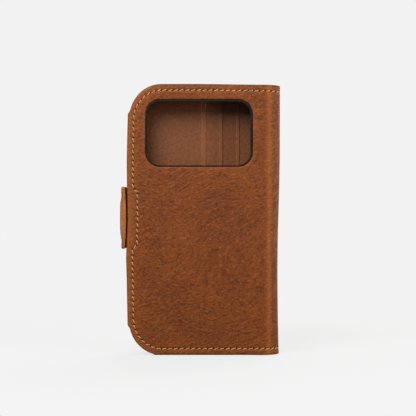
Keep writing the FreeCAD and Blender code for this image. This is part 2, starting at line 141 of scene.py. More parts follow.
# The hand-cut outline: how far the free edge and the spine stand off their nominal lines, by height, and
# how far the top edge dips, along the cover.
EDGE_SWAY = [
    (0, 1.3), (8, 0.85), (17, 0.6), (32, 0.3), (43, 0.1), (56, -0.28), (64, -0.05), (78, 0.5), (96, 0.25),
    (112, 0.1), (130, 0.45), (142, 0.8), (150, 1.1), (157, 1.5),
]
EDGE_SWAY_REACH = 24.0
SPINE_SWAY = [
    (0, 0.4), (10, 0.1), (20, -0.12), (48, -0.37), (72, -0.1), (86, 0.4), (98, 0.7), (112, 1.0), (157, 1.15),
]
TOP_DIP = [(45, 0.0), (66, 0.28), (77, 0.45), (95, 0.5)]
TOP_DIP_START = 149.5
TOP_DIP_RUN = 4.0


# ---------------------------------------------------------------- flat outlines

def arc(centre, radius, first, last, step=0.8):
    """Points along an arc, from the first to the last angle in degrees."""
    count = max(2, int(abs(math.radians(last - first)) * radius / step) + 1)
    angles = np.radians(np.linspace(first, last, count))
    return np.column_stack((centre[0] + radius * np.cos(angles), centre[1] + radius * np.sin(angles)))


def refined(points, step):
    """The same polyline with every run divided into stretches no longer than step."""
    points = np.asarray(points, float)
    made = [points[:1]]
    for start, end in zip(points[:-1], points[1:]):
        count = max(1, int(math.ceil(np.linalg.norm(end - start) / step)))
        shares = np.arange(1, count + 1)[:, None] / count
        made.append(start + (end - start) * shares)
    return np.concatenate(made)


def cover_edge():
    """The free edges of a cover: along the bottom, up the free edge and back along the top."""
    high_centre = HEIGHT - CORNER
    heel_rise = CORNER - math.sqrt(CORNER ** 2 - (CORNER_CENTRE - HEEL_START) ** 2)
    heel_angle = math.degrees(math.atan2(heel_rise - CORNER, HEEL_START - CORNER_CENTRE)) + 360
    shoulder_angle = math.degrees(math.asin(SHOULDER_RISE / CORNER))
    points = np.concatenate((
        [(S_END, 0.0), (HEEL_START + HEEL_RUN, 0.0)],
        arc((CORNER_CENTRE, CORNER), CORNER, heel_angle, 180 + shoulder_angle),
        [(0.0, CORNER - SHOULDER_RISE + SHOULDER_RUN), (0.0, high_centre + SHOULDER_RISE - SHOULDER_RUN)],
        arc((CORNER_CENTRE, high_centre), CORNER, 180 - shoulder_angle, 90),
        [(S_END, HEIGHT)],
    ))
    return refined(points, 1.0)


def rounded_rectangle(low, high, corner, step=0.8):
    """A closed loop, counter-clockwise; low and high are (s, z) corners."""
    left, bottom = low[0] + corner, low[1] + corner
    right, top = high[0] - corner, high[1] - corner
    loop = np.concatenate((
        arc((right, bottom), corner, -90, 0, step),
        arc((right, top), corner, 0, 90, step),
        arc((left, top), corner, 90, 180, step),
        arc((left, bottom), corner, 180, 270, step),
    ))
    return refined(np.concatenate((loop, loop[:1])), step * 1.5)[:-1]


def seam_line():
    """The seam of a cover, with its jog round the closure magnet."""
    turn = SEAM_INSET + SEAM_CORNER
    points = np.concatenate((
        [(S_END, SEAM_INSET)],
        arc((turn, turn), SEAM_CORNER, 270, 180),
        [
            (SEAM_INSET, SEAM_JOG_LOW - SEAM_JOG),
            (SEAM_INSET + SEAM_JOG, SEAM_JOG_LOW),
            (SEAM_INSET + SEAM_JOG, SEAM_JOG_HIGH),
            (SEAM_INSET, SEAM_JOG_HIGH + SEAM_JOG),
        ],
        arc((turn, HEIGHT - turn), SEAM_CORNER, 180, 90),
        [(S_END, HEIGHT - SEAM_INSET)],
    ))
    return refined(points, 0.7)


def nearest(points, targets):
    """Distance from each flat point to the nearest of some targets."""
    tree = KDTree(len(targets))
    for index, target in enumerate(targets):
        tree.insert((*target, 0.0), index)
    tree.balance()
    return np.array([tree.find((*point, 0.0))[2] for point in points])


def distance(points, line):
    """Shortest distance from each flat point to a polyline."""
    return nearest(points, refined(line, LINE_STEP))


def inside(points, loop):
    """Which flat points lie inside a closed loop."""
    x, y = points[:, 0], points[:, 1]
    result = np.zeros(len(points), bool)
    for (ax, ay), (bx, by) in zip(loop, np.roll(loop, -1, axis=0)):
        crosses = (ay > y) != (by > y)
        if crosses.any():
            reach = ax + (y - ay) * (bx - ax) / ((by - ay) or 1e-12)
            result ^= crosses & (x < reach)
    return result


def offsets(line, amounts, closed=False):
    """Copies of a polyline moved to its left by each amount, as loose points."""
    if closed:
        run = np.roll(line, -1, axis=0) - np.roll(line, 1, axis=0)
    else:
        run = np.gradient(line, axis=0)
    normal = np.column_stack((-run[:, 1], run[:, 0]))
    normal /= np.maximum(np.linalg.norm(normal, axis=1), 1e-9)[:, None]
    return np.concatenate([line + normal * amount for amount in amounts])


def hex_grid(low, high, step_s, step_z):
    """Loose points on a staggered grid."""
    rows = []
    for index, z in enumerate(np.arange(low[1], high[1], step_z)):
        s = np.arange(low[0] + (index % 2) * step_s / 2, high[0], step_s)
        rows.append(np.column_stack((s, np.full(len(s), z))))
    return np.concatenate(rows)


def along(line, places):
    """The points of a polyline at these distances along it, and its direction there."""
    lengths = np.concatenate(([0], np.cumsum(np.linalg.norm(np.diff(line, axis=0), axis=1))))
    reach = 0.4
    point = np.column_stack([np.interp(places, lengths, line[:, axis]) for axis in (0, 1)])
    before = np.column_stack([np.interp(places - reach, lengths, line[:, axis]) for axis in (0, 1)])
    after = np.column_stack([np.interp(places + reach, lengths, line[:, axis]) for axis in (0, 1)])
    direction = after - before
    return point, direction / np.linalg.norm(direction, axis=1)[:, None]


def line_length(line):
    return float(np.linalg.norm(np.diff(line, axis=0), axis=1).sum())


# ---------------------------------------------------------------- from the flat to the case

def sway(s, z):
    """How far the hand-cut cover stands off its nominal place along X."""
    edge = np.interp(z, *zip(*EDGE_SWAY)) * np.clip(1 - s / EDGE_SWAY_REACH, 0, 1) ** 2
    turn = np.clip((s - FLAT) / RADIUS, 0, math.pi / 2)
    return edge + np.interp(z, *zip(*SPINE_SWAY)) * np.sin(turn) ** 2


def dip(s, z):
    """How far the hand-cut cover's top strip lies below its nominal place."""
    return np.interp(s, *zip(*TOP_DIP)) * np.clip((z - TOP_DIP_START) / TOP_DIP_RUN, 0, 1)


def cover_place(side):
    """The map from (s, z, depth) to the case, for the back or the front cover."""
    def place(flat, depth):
        s, z = flat[:, 0], flat[:, 1]
        turn = np.maximum(s - FLAT, 0) / RADIUS
        radius = RADIUS - depth
        x = np.where(s < FLAT, EDGE_X + s, SPINE_X + radius * np.sin(turn))
        y = side * radius * np.cos(turn)
        return np.column_stack((x + sway(s, z), y, z - dip(s, z)))
    return place


def continued(flat, side):
    """Flat places that run on from the back cover round the spine to the front, and the grain with them."""
    return flat if side == BACK else np.column_stack((2 * S_END - flat[:, 0], flat[:, 1]))


TAB_CENTRE_Y = TAB_FOLD_LOW.y
TAB_BEND = TAB_FOLD_HIGH.y - TAB_FOLD_LOW.y
TAB_BEND_LENGTH = TAB_BEND * math.pi / 2
TAB_END = TAB_BEND_LENGTH + TAB_FOLD_LOW.y - TAB_LOW.y


def tab_place(flat, depth):
    """The map from (path, z, depth) to the closure tab: round its fold, then straight to its free end."""
    path, z = flat[:, 0], flat[:, 1]
    turn = np.minimum(path / TAB_BEND, math.pi / 2)
    radius = TAB_BEND - depth
    x = EDGE_X - radius * np.sin(turn)
    y = TAB_CENTRE_Y + radius * np.cos(turn) - np.maximum(path - TAB_BEND_LENGTH, 0)
    return np.column_stack((x, y, z))


def ripple(flat, size, seed):
    """Smooth unevenness from -1 to 1, with hollows about size across."""
    return np.array([noise.noise(Vector((s / size, z / size, seed))) for s, z in flat])


# ---------------------------------------------------------------- meshes

def new_object(name, vertices, faces, material, smooth_angle=45.0):
    """A mesh object from points in millimetres, with outward normals and smooth shading."""
    mesh = bpy.data.meshes.new(name)
    mesh.from_pydata([tuple(point) for point in np.asarray(vertices) * MM], [], faces)
    work = bmesh.new()
    work.from_mesh(mesh)
    bmesh.ops.recalc_face_normals(work, faces=work.faces)
    work.to_mesh(mesh)
    work.free()
    mesh.shade_smooth()
    mesh.set_sharp_from_angle(angle=math.radians(smooth_angle))
    mesh.materials.append(material)
    made = bpy.data.objects.new(name, mesh)
    bpy.context.scene.collection.objects.link(made)
    return made


def add_values(made, name, values):
    """Keeps one number for each vertex, for the material to read."""
    attribute = made.data.attributes.new(name, "FLOAT", "POINT")
    attribute.data.foreach_set("value", np.asarray(values, np.float32))


def add_flat_map(made, flat):
    """Keeps each vertex's flat place as the UV map, so that the grain follows the hide."""
    layer = made.data.uv_layers.get("flat") or made.data.uv_layers.new(name="flat")
    corners = np.zeros(len(made.data.loops), np.int32)
    made.data.loops.foreach_get("vertex_index", corners)
    layer.data.foreach_set("uv", (np.asarray(flat)[corners] / FLAT_UNIT).astype(np.float32).ravel())


def triangulated(boundary, holes, loose):
    """Triangles that fill a flat outline with holes, through the loose points."""
    loops = [boundary, *holes]
    keep = inside(loose, boundary)
    for hole in holes:
        keep &= ~inside(loose, hole)
    loose = loose[keep]
    closed = [np.concatenate((loop, loop[:1])) for loop in loops]
    for loop in closed:
        loose = loose[distance(loose, loop) > 0.06]
    points = np.concatenate((*loops, loose))
    edges = []
    first = 0
    for loop in loops:
        count = len(loop)
        edges += [(first + index, first + (index + 1) % count) for index in range(count)]
        first += count
    corners, _, faces, *_ = delaunay_2d_cdt([Vector(p) for p in points], edges, [], 1, 1e-4)
    flat = np.array([tuple(c) for c in corners])
    faces = [tuple(face) for face in faces]
    middles = flat[np.array(faces)].mean(1)
    wanted = np.ones(len(faces), bool)
    for hole in holes:
        wanted &= ~inside(middles, hole)
    return flat, [face for face, keep_it in zip(faces, wanted) if keep_it]


def sheet_piece(name, boundary, holes, loose, outer, inner, place, material, edge_material=None):
    """A closed sheet: its two faces lie at the depths outer and inner of the flat points."""
    flat, faces = triangulated(boundary, holes, loose)
    count = len(flat)
    vertices = np.concatenate((place(flat, outer(flat)), place(flat, inner(flat))))
    edge_use = {}
    for face in faces:
        for a, b in zip(face, face[1:] + face[:1]):
            edge_use.setdefault((min(a, b), max(a, b)), []).append((a, b))
    walls = [(b, a, a + count, b + count) for uses in edge_use.values() if len(uses) == 1 for a, b in uses]
    bottom = [tuple(index + count for index in reversed(face)) for face in faces]
    made = new_object(name, vertices, faces + bottom + walls, material)
    if edge_material:
        made.data.materials.append(edge_material)
        for index in range(len(faces) + len(bottom), len(made.data.polygons)):
            made.data.polygons[index].material_index = 1
    add_flat_map(made, np.concatenate((flat, flat)))
    return made, np.concatenate((flat, flat))


def rounding(gap, radius):
    """Depth of a rounded edge at a distance in from it."""
    reach = np.clip(radius - gap, 0, radius)
    return radius - np.sqrt(radius ** 2 - reach ** 2)


def stitches(name, line, place, material, face_depth, pitch=STITCH_PITCH, radius=THREAD_RADIUS):
    """A row of stitches: each is a twisted thread that rises out of one hole and dips into the next.

    No two are quite alike in length, slant or rise.
    """
    length = line_length(line)
    count = max(1, round(length / pitch))
    pitch = length / count
    rings, sides = 11, 10
    share = np.linspace(0, 1, rings)
    angles = np.linspace(0, 2 * math.pi, sides, endpoint=False)
    flats, depths, faces = [], [], []
    for index in range(count):
        reach = pitch * (STITCH_FILL + 0.03 * random.uniform(-1, 1))
        middle = pitch * (index + 0.5)
        lean = STITCH_SLANT * (1 + 0.35 * random.uniform(-1, 1))
        lift = 0.06 * random.uniform(-1, 1)
        centre, direction = along(line, middle + reach * (share - 0.5))
        across = np.column_stack((-direction[:, 1], direction[:, 0]))
        centre = centre + across * (lean * reach * (share - 0.5))[:, None]
        arch = np.sin(math.pi * share) ** 0.55
        depth = face_depth(centre) + STITCH_SINK - (STITCH_RISE + lift) * arch
        thick = radius * (0.72 + 0.28 * arch)
        base = len(flats) * rings * sides
        ring_flat, ring_depth = [], []
        for ring in range(rings):
            twist = 1 + 0.13 * np.cos(2 * angles - 9.0 * share[ring])
            spread = thick[ring] * twist
            ring_flat.append(centre[ring] + across[ring] * (np.cos(angles) * spread)[:, None])
            ring_depth.append(depth[ring] - np.sin(angles) * spread)
        flats.append(np.concatenate(ring_flat))
        depths.append(np.concatenate(ring_depth))
        for ring in range(rings - 1):
            for a in range(sides):
                b = (a + 1) % sides
                low, high = base + ring * sides, base + (ring + 1) * sides
                faces.append((low + a, low + b, high + b, high + a))
        faces.append(tuple(base + a for a in range(sides)))
        faces.append(tuple(base + (rings - 1) * sides + a for a in reversed(range(sides))))
    flat = np.concatenate(flats)
    made = new_object(name, place(flat, np.concatenate(depths)), faces, material, 60)
    add_flat_map(made, flat)
    return made


def seam_holes(line):
    """The holes between the stitches of a cover's seam."""
    length = line_length(line)
    count = max(1, round(length / STITCH_PITCH))
    return along(line, np.linspace(0, length, count + 1))[0]


# ---------------------------------------------------------------- shader nodes

def srgb(red, green, blue):
    """A display colour, 0 to 255, as a linear shader colour."""
    channels = []
    for value in (red, green, blue):
        value /= 255
        channels.append(value / 12.92 if value <= 0.04045 else ((value + 0.055) / 1.055) ** 2.4)
    return (*channels, 1.0)


def node(tree, kind, inputs=(), output=0, **settings):
    """Adds a shader node; inputs are values or sockets by name or number. Returns the output asked for."""
    made = tree.nodes.new("ShaderNode" + kind)
    for name, value in settings.items():
        setattr(made, name, value)
    for key, value in dict(inputs).items():
        if isinstance(value, bpy.types.NodeSocket):
            tree.links.new(value, made.inputs[key])
        else:
            made.inputs[key].default_value = value
    return made.outputs[output]


def mix(tree, factor, first, second):
    return node(tree, "Mix", {0: factor, 6: first, 7: second}, 2, data_type="RGBA")


def calc(tree, operation, first, second, clamp=False):
    return node(tree, "Math", {0: first, 1: second}, operation=operation, use_clamp=clamp)


def ranged(tree, value, low, high, to_low=0.0, to_high=1.0):
    """Moves a value's range, with soft ends."""
    inputs = {"Value": value, 1: low, 2: high, 3: to_low, 4: to_high}
    return node(tree, "MapRange", inputs, interpolation_type="SMOOTHSTEP")


def value_of(tree, name):
    return node(tree, "Attribute", output="Fac", attribute_name=name)


def flat_position(tree):
    """The hide's own flat position in millimetres."""
    flat = node(tree, "UVMap", uv_map="flat")
    return node(tree, "Mapping", {"Vector": flat, "Scale": (FLAT_UNIT, FLAT_UNIT, FLAT_UNIT)})


def solid_position(tree):
    """The piece's own position in millimetres."""
    place = node(tree, "TexCoord", output="Object")
    return node(tree, "VectorMath", {0: place, "Scale": 1 / MM}, operation="SCALE")


def clouds(tree, position, scale, detail=3.0, rough=0.5, twist=0.0):
    inputs = {"Vector": position, "Scale": scale, "Detail": detail, "Roughness": rough, "Distortion": twist}
    return node(tree, "TexNoise", inputs)


def cells(tree, position, scale, smoothness):
    inputs = {"Vector": position, "Scale": scale, "Smoothness": smoothness}
    return node(tree, "TexVoronoi", inputs, feature="SMOOTH_F1")


def bump(tree, height, distance_mm, strength=1.0, normal=None):
    inputs = {"Height": height, "Distance": distance_mm * MM, "Strength": strength}
    if normal is not None:
        inputs["Normal"] = normal
    return node(tree, "Bump", inputs)


def new_material(name):
    material = bpy.data.materials.new(name)
    material.use_nodes = True
    material.node_tree.nodes.clear()
    return material, material.node_tree


def finish_material(tree, inputs):
    surface = node(tree, "BsdfPrincipled", inputs)
    output = tree.nodes.new("ShaderNodeOutputMaterial")
    tree.links.new(surface, output.inputs["Surface"])


# ---------------------------------------------------------------- materials

def warped(tree, position, scale, reach):
    """The position moved about by slow noise, so that a pattern flows and swirls."""
    swirl = node(tree, "TexNoise", {"Vector": position, "Scale": scale, "Detail": 1.5}, "Color")
    shift = node(tree, "VectorMath", {0: swirl, "Scale": reach}, operation="SCALE")
    return node(tree, "VectorMath", {0: position, 1: shift}, operation="ADD")


def stretched(tree, position, turn, stretch):
    """The position turned by degrees, then stretched along its new axes."""
    turned = node(tree, "Mapping", {"Vector": position, "Rotation": (0, 0, math.radians(turn))})
    return node(tree, "Mapping", {"Vector": turned, "Scale": (*stretch, 1.0)})


def cover_leather():
    """Oiled pull-up hide: mottled, pitted and creased. Its colour also carries painted light: lighter along
    the edges and round the spine's bend, for pulled-up oil and a painted highlight; darker in the stitch
    holes and in a thin line along the cut edges, as painted shade.
    """
    brown, warm_brown = srgb(112, 54, 15), srgb(126, 63, 16)
    pit_brown, pore_brown, hole_shade_brown = srgb(80, 37, 10), srgb(84, 38, 10), srgb(56, 26, 12)
    ridge_tan, pull_and_highlight_tan, edge_shade_brown = srgb(156, 85, 26), srgb(162, 88, 24), srgb(70, 34, 14)
    flow_turn = -38.0

    material, tree = new_material("cover_leather")
    flat = flat_position(tree)
    bent = warped(tree, flat, 0.013, 48.0)
    loosened = warped(tree, flat, 0.3, 2.0)
    patches = clouds(tree, flat, 0.045, 2.0, 0.5)
    fine = clouds(tree, flat, 2.4, 2.0, 0.6)
    grain = clouds(tree, stretched(tree, bent, flow_turn, (0.58, 1.1)), 0.54, 2.0, 0.5)
    broken = clouds(tree, loosened, 0.78, 2.0, 0.5)
    waves = clouds(tree, stretched(tree, bent, flow_turn, (0.16, 1.0)), 0.26, 2.0, 0.55)
    creases = node(tree, "TexNoise", {
        "Vector": stretched(tree, bent, flow_turn, (0.5, 1.1)), "Scale": 0.30, "Detail": 3.0,
        "Roughness": 0.6,
    }, noise_type="RIDGED_MULTIFRACTAL")
    mottle = calc(tree, "ADD", calc(tree, "MULTIPLY", grain, 0.5), calc(tree, "MULTIPLY", broken, 0.5))
    mottle = calc(tree, "ADD", mottle, calc(tree, "MULTIPLY", calc(tree, "SUBTRACT", waves, 0.5), 0.2))
    pits = ranged(tree, mottle, 0.37, 0.48, 1.0, 0.0)
    ridges = ranged(tree, mottle, 0.52, 0.64)

    colour = mix(tree, ranged(tree, patches, 0.3, 0.7), brown, warm_brown)
    colour = mix(tree, calc(tree, "MULTIPLY", pits, 0.74), colour, pit_brown)
    colour = mix(tree, calc(tree, "MULTIPLY", ridges, 0.50), colour, ridge_tan)
    colour = mix(tree, ranged(tree, fine, 0.35, 0.65, 0.38, 0.0), colour, pore_brown)
    # Lighter along the edges and round the spine's bend: pulled-up oil and a painted highlight.
    colour = mix(tree, calc(tree, "MULTIPLY", value_of(tree, "pull_and_highlight"), 0.75, True), colour, pull_and_highlight_tan)
    # Painted shade: a thin dark line along the cut edges.
    colour = mix(tree, calc(tree, "MULTIPLY", value_of(tree, "painted_edge_shade"), 0.7, True), colour, edge_shade_brown)
    # Painted shade in the stitch holes.
    colour = mix(tree, value_of(tree, "hole"), colour, hole_shade_brown)

    normal = bump(tree, creases, 0.16, 0.5)
    normal = bump(tree, mottle, 1.25, 0.7, normal)
    normal = bump(tree, cells(tree, loosened, 0.95, 0.4), 0.12, 0.5, normal)
    normal = bump(tree, fine, 0.12, 0.5, normal)
    finish_material(tree, {
        "Base Color": colour, "Roughness": ranged(tree, mottle, 0.35, 0.65, 0.64, 0.46),
        "Specular IOR Level": 0.22, "Normal": normal,
    })
    return material


def cut_edge(name, stretch, dark, light):
    """Burnished cut edge of hide, with streaks where stretch draws the fibres out."""
    material, tree = new_material(name)
    place = solid_position(tree)
    lines = clouds(tree, node(tree, "Mapping", {"Vector": place, "Scale": stretch}), 1.0, 4.0, 0.6)
    fibres = clouds(tree, place, 2.2, 3.0, 0.6)
    tone = calc(tree, "ADD", calc(tree, "MULTIPLY", lines, 0.75), calc(tree, "MULTIPLY", fibres, 0.25))
    finish_material(tree, {
        "Base Color": mix(tree, ranged(tree, tone, 0.36, 0.64), dark, light), "Roughness": 0.5,
        "Specular IOR Level": 0.35, "Normal": bump(tree, tone, 0.15, 0.6),
    })
    return material


def tab_hide():
    """The tab's leather, a little lighter than the covers."""
    material, tree = new_material("tab_leather")
    place = flat_position(tree)
    marks = clouds(tree, place, 0.5, 5.0, 0.62, 0.5)
    colour = mix(tree, ranged(tree, marks, 0.3, 0.7), srgb(112, 60, 22), srgb(152, 88, 36))
    pebbles = cells(tree, place, 1.35, 0.35)
    finish_material(tree, {
        "Base Color": colour, "Roughness": 0.5, "Specular IOR Level": 0.42,
        "Normal": bump(tree, pebbles, 0.08, 0.6, bump(tree, marks, 0.4, 0.5)),
    })
    return material


def pocket_hide():
    """Thin smooth calf for the card pockets."""
    material, tree = new_material("pocket_leather")
    place = flat_position(tree)
    marks = clouds(tree, place, 0.6, 4.0, 0.6, 0.3)
    colour = mix(tree, ranged(tree, marks, 0.25, 0.75), srgb(98, 52, 20), srgb(124, 68, 25))
    colour = mix(tree, calc(tree, "MULTIPLY", value_of(tree, "pull_and_highlight"), 0.5, True), colour, srgb(160, 94, 42))
    pebbles = cells(tree, place, 1.8, 0.3)
    finish_material(tree, {
        "Base Color": colour, "Roughness": 0.48, "Specular IOR Level": 0.4,
        "Normal": bump(tree, pebbles, 0.06, 0.6, bump(tree, marks, 0.3, 0.4)),
    })
    return material


def suede():
    """Short-nap suede: matt, with faintly brushed patches."""
    material, tree = new_material("lining_suede")
    place = flat_position(tree)
    brushed = clouds(tree, stretched(tree, place, 20.0, (0.3, 1.0)), 0.2, 3.0, 0.6, 0.6)
    nap = clouds(tree, place, 3.2, 2.0, 0.7)
    colour = mix(tree, ranged(tree, brushed, 0.3, 0.7), srgb(88, 52, 28), srgb(104, 64, 36))
    colour = mix(tree, ranged(tree, nap, 0.3, 0.7, 0.5, 0.0), colour, srgb(58, 33, 17))
    finish_material(tree, {
        "Base Color": colour, "Roughness": 1.0, "Specular IOR Level": 0.08, "Sheen Weight": 0.12,
        "Sheen Roughness": 0.6, "Normal": bump(tree, nap, 0.2, 0.9),
    })
    return material


def thread():
    """Waxed twisted thread, pale tan."""
    material, tree = new_material("thread")
    place = flat_position(tree)
    fibres = clouds(tree, place, 3.0, 3.0, 0.6)
    colour = mix(tree, ranged(tree, fibres, 0.3, 0.7), srgb(170, 120, 76), srgb(218, 172, 122))
    finish_material(tree, {
        "Base Color": colour, "Roughness": 0.6, "Specular IOR Level": 0.3,
        "Normal": bump(tree, fibres, 0.05, 0.6),
    })
    return material


def plain(name, colour, rough, grain_scale, grain_depth, metal=0.0, specular=0.5):
    """A moulded, painted or metal finish: a little uneven in colour and gloss, with a fine grain."""
    spread = 0.12
    material, tree = new_material(name)
    place = solid_position(tree)
    grain = clouds(tree, place, grain_scale, 3.0, 0.6)
    drift = clouds(tree, place, 0.06, 2.0)
    darker = tuple(channel * (1 - spread) for channel in colour[:3]) + (1.0,)
    lighter = tuple(min(1.0, channel * (1 + spread)) for channel in colour[:3]) + (1.0,)
    finish_material(tree, {
        "Base Color": mix(tree, ranged(tree, drift, 0.3, 0.7), darker, lighter), "Metallic": metal,
        "Roughness": ranged(tree, grain, 0.2, 0.8, rough * 0.9, min(1.0, rough * 1.1)),
        "Specular IOR Level": specular, "Normal": bump(tree, grain, grain_depth, 0.5),
    })
    return material


def brushed(name, colour):
    """Metal with brush marks up the case."""
    material, tree = new_material(name)
    drawn = node(tree, "Mapping", {"Vector": solid_position(tree), "Scale": (6.0, 6.0, 0.08)})
    marks = clouds(tree, drawn, 1.0, 3.0)
    finish_material(tree, {
        "Base Color": colour, "Metallic": 1.0, "Roughness": ranged(tree, marks, 0.3, 0.7, 0.22, 0.42),
        "Normal": bump(tree, marks, 0.01, 0.4),
    })
    return material


LEATHER = cover_leather()
CUT_EDGE = cut_edge("burnished_edge", (1.4, 1.4, 1.4), srgb(110, 58, 20), srgb(150, 86, 36))
TAB_EDGE = cut_edge("tab_edge", (3.0, 0.6, 0.09), srgb(124, 68, 27), srgb(176, 109, 53))
TAB_HIDE = tab_hide()
POCKET_HIDE = pocket_hide()
SUEDE = suede()
THREAD = thread()
SHELL = plain("shell_plastic", srgb(34, 34, 36), 0.42, 2.5, 0.03)
BEZEL = plain("bezel_plastic", srgb(15, 14, 14), 0.34, 2.0, 0.01, specular=0.35)
BUTTON = plain("button_plastic", srgb(40, 40, 42), 0.38, 2.5, 0.02)
MICROFIBRE = plain("microfibre", srgb(58, 58, 62), 0.95, 5.0, 0.1, specular=0.1)
BOARD = plain("stiffener_board", srgb(150, 138, 118), 0.9, 1.5, 0.1, specular=0.2)
MAGNET = plain("nickel", srgb(190, 190, 194), 0.25, 3.0, 0.005, metal=1.0)
KEEPER = brushed("steel_strip", srgb(160, 160, 162))


# ---------------------------------------------------------------- the covers

SEAM = seam_line()
HOLES = seam_holes(SEAM)
OUTLINE = cover_edge()
CAMERA_LOW = (BEZEL_LOW.x - CAMERA_GAP - EDGE_X, BEZEL_LOW.z - CAMERA_GAP)
CAMERA_HIGH = (BEZEL_HIGH.x + CAMERA_GAP - EDGE_X, BEZEL_HIGH.z + CAMERA_GAP)


def camera_loop(growth=0.0):
    low = (CAMERA_LOW[0] - growth, CAMERA_LOW[1] - growth)
    high = (CAMERA_HIGH[0] + growth, CAMERA_HIGH[1] + growth)
    return rounded_rectangle(low, high, CAMERA_CORNER + growth)


def inner_box(name):
    """A CAD node's flat corners on its cover."""
    low, high = node_box(name)
    return (low.x - EDGE_X, low.z), (high.x - EDGE_X, high.z)


def in_box(flat, box, gap=0.0):
    (left, bottom), (right, top) = box
    within_s = (flat[:, 0] > left - gap) & (flat[:, 0] < right + gap)
    return within_s & (flat[:, 1] > bottom - gap) & (flat[:, 1] < top + gap)


def spine_step(s, before, after):
    """Moves from the depth before to the depth after as the cover's board ends and the spine begins."""
    share = np.clip((s - (FLAT - BOARD_STEP)) / (2 * BOARD_STEP), 0, 1)
    return before + (after - before) * share ** 2 * (3 - 2 * share)


def cover_boundary():
    """The outline of a cover as a closed loop, shut along the middle of the spine."""
    seam_end = refined([(S_END, HEIGHT), (S_END, 0.0)], 2.0)
    return np.concatenate((OUTLINE, seam_end[1:-1]))[::-1]


def hole_points():
    """A few rings of points round each stitch hole."""
    rings = [HOLES]
    for radius, count in ((0.2, 6), (0.42, 8)):
        angles = np.linspace(0, 2 * math.pi, count, endpoint=False)
        rings += [HOLES + radius * np.array((math.cos(angle), math.sin(angle))) for angle in angles]
    return np.concatenate(rings)


def oil_pull_and_highlight(flat, edge_gap, any_gap):
    """How much lighter the hide is painted. Along cut edges it stands for pulled-up oil and partly a painted
    highlight on the rounded edges; round the spine's bend it is a painted highlight, with pulled-up oil,
    where the bend turns to the lamps; it is weaker near the top and bottom ends, where the lamps already
    light the rounded edges.
    """
    turn = np.clip((flat[:, 0] - FLAT) / RADIUS, 0, math.pi / 2)
    near_end = np.clip(1 - np.minimum(flat[:, 1], HEIGHT - flat[:, 1]) / 6, 0, 1)
    past_corner = np.clip((flat[:, 0] - 12) / 8, 0, 1)
    edges = 0.85 * np.exp(-edge_gap / 3.2) + 0.35 * np.exp(-any_gap / 1.2)
    # Painted highlight round the spine's bend, where its turn faces the strip lamp, together with pulled-up
    # oil.
    bend = 0.75 * np.exp(-((turn - 0.42) / 0.17) ** 2)
    return (1 - 0.9 * near_end * past_corner) * edges + bend


def cover(side, insert_box):
    """One cover's hide, from its free edge to the middle of the spine, with a recess for its insert."""
    with_camera = side == BACK
    holes = [camera_loop()] if with_camera else []
    loose = [
        offsets(OUTLINE, (-0.1, -0.25, -0.45, -0.7, -0.95, -1.4, -2.1)),
        offsets(OUTLINE, (-BOARD_INSET + 0.05, -BOARD_INSET - 0.05)),
        offsets(SEAM, (-1.1, -0.7, -0.4, -0.18, 0.0, 0.18, 0.4, 0.7, 1.1)),
        hole_points(),
        hex_grid((0, 0), (FLAT, HEIGHT), 1.5, 1.3),
        hex_grid((FLAT - 0.4, 0), (S_END, HEIGHT), 0.75, 1.6),
    ]
    if with_camera:
        loose += [camera_loop(growth) for growth in (0.1, 0.22, 0.4, 0.6, 0.9, 1.4, 2.2)]
    loose.append(rounded_rectangle(*insert_box, 0.01, 1.0))

    def edge_gap(flat):
        return distance(flat, OUTLINE)

    def camera_gap(flat):
        closed = camera_loop()
        return distance(flat, np.concatenate((closed, closed[:1])))

    def outer(flat):
        gap = edge_gap(flat)
        flatness = np.clip((FLAT - flat[:, 0]) / SPINE_FADE, 0, 1)
        depth = rounding(gap, EDGE_ROUND * (0.5 + 0.5 * flatness))
        depth += EDGE_PRESS * flatness * np.exp(-gap / EDGE_PRESS_REACH)
        depth += CHANNEL_DEPTH * np.exp(-(distance(flat, SEAM) / CHANNEL_REACH) ** 2)
        depth += HOLE_DEPTH * np.exp(-(nearest(flat, HOLES) / HOLE_REACH) ** 2)
        if with_camera:
            gap = camera_gap(flat)
            depth += rounding(gap, CAMERA_ROUND) + 0.16 * np.exp(-gap / 1.3)
        unevenness = 0.05 * ripple(flat, 13.0, 3.1 * side) + 0.03 * ripple(flat, 4.5, 7.7 * side)
        return depth + unevenness * np.clip(gap_to_all(flat) / 3, 0, 1)

    def gap_to_all(flat):
        return np.minimum(edge_gap(flat), camera_gap(flat)) if with_camera else edge_gap(flat)

    def inner(flat):
        gap = edge_gap(flat)
        depth = spine_step(flat[:, 0], RIM_THICK, HIDE_THICK)
        recess = (gap > BOARD_INSET) | in_box(flat, insert_box, CLEARANCE)
        depth = np.where(recess, HIDE_THICK - CLEARANCE, depth)
        return depth - 0.25 * np.exp(-gap / 0.2)

    name = f"{SIDE_NAMES[side]}_cover_leather"
    made, flat = sheet_piece(name, cover_boundary(), holes, np.concatenate(loose),
                             outer, inner, cover_place(side), LEATHER, CUT_EDGE)
    gap = edge_gap(flat)
    # Lighter edges and spine bend: pulled-up oil and a painted highlight.
    add_values(made, "pull_and_highlight", oil_pull_and_highlight(flat, gap, gap_to_all(flat)))
    # Painted shade in the stitch holes.
    add_values(made, "hole", np.exp(-(nearest(flat, HOLES) / 0.48) ** 4))
    # Painted shade in a thin line along the cut edges.
    add_values(made, "painted_edge_shade", np.exp(-(gap / 0.55) ** 2))
    add_flat_map(made, continued(flat, side))
    return made


